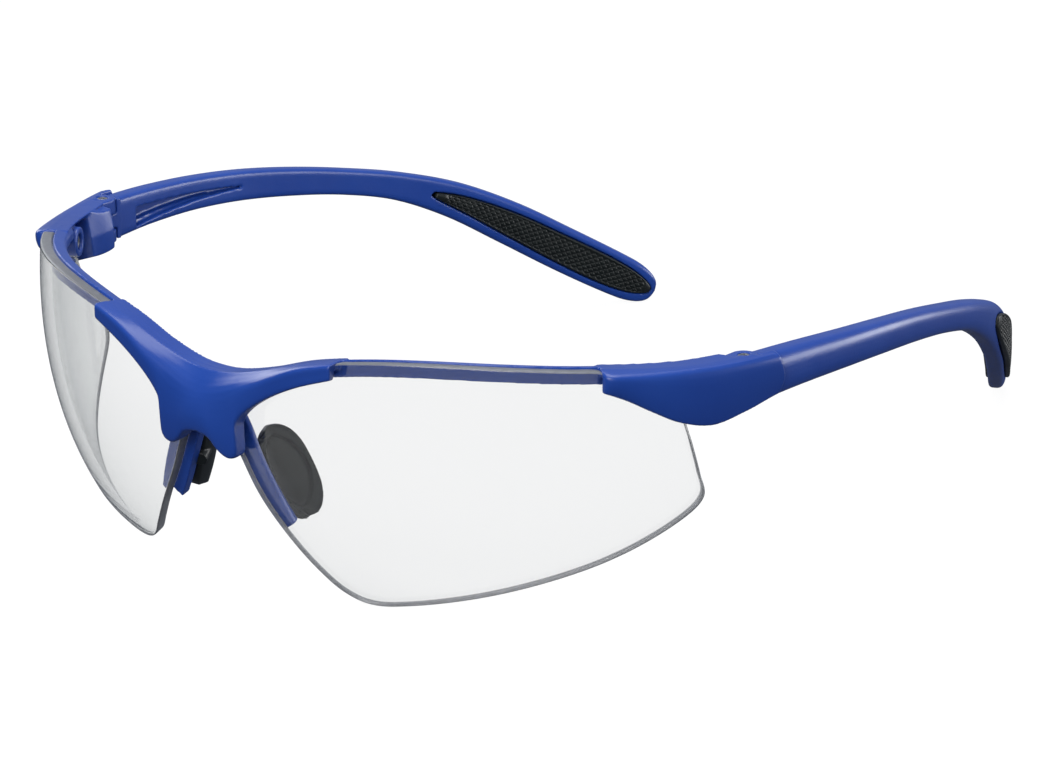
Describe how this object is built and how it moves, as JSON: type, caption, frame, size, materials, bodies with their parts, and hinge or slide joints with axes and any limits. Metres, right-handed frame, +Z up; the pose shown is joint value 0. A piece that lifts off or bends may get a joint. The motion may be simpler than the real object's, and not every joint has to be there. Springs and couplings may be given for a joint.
{
  "type": "sports safety glasses",
  "caption": "Half-rim wraparound safety glasses: clear shield lens under a moulded brow frame, folding temples with rubber grips and soft nose pads.",
  "frame": {"origin": "on the surface the open glasses rest on, below the centre of their bounding box", "axes": "+Z up, -Y the way the wearer looks, +X to the wearer's left, temples running to +Y"},
  "size_m": [0.1486, 0.1718, 0.0443],
  "materials": {
    "frame_plastic": "satin gloss",
    "lens_clear": "polished, clear",
    "soft_rubber": "matt",
    "screw_steel": "plain"
  },
  "bodies": {
    "front": {"front_frame": "frame_plastic", "lens": "lens_clear", "nose_bracket": "frame_plastic", "nose_pad_left": "soft_rubber", "nose_pad_right": "soft_rubber", "hinge_screw_left": "screw_steel", "hinge_screw_right": "screw_steel", "lens_screw_left": "screw_steel", "lens_screw_right": "screw_steel"},
    "temple_left": {"temple_left": "frame_plastic", "temple_pad_left": "soft_rubber"},
    "temple_right": {"temple_right": "frame_plastic", "temple_pad_right": "soft_rubber"}
  },
  "joints": [
    {"name": "left_temple_fold", "type": "hinge", "parent": "front", "child": "temple_left", "pos_m": [0.07, -0.03537, 0.0377], "axis": [0, 0, 1], "range_deg": [0, 86]},
    {"name": "right_temple_fold", "type": "hinge", "parent": "front", "child": "temple_right", "pos_m": [-0.07, -0.03537, 0.0377], "axis": [0, 0, -1], "range_deg": [0, 78]}
  ]
}
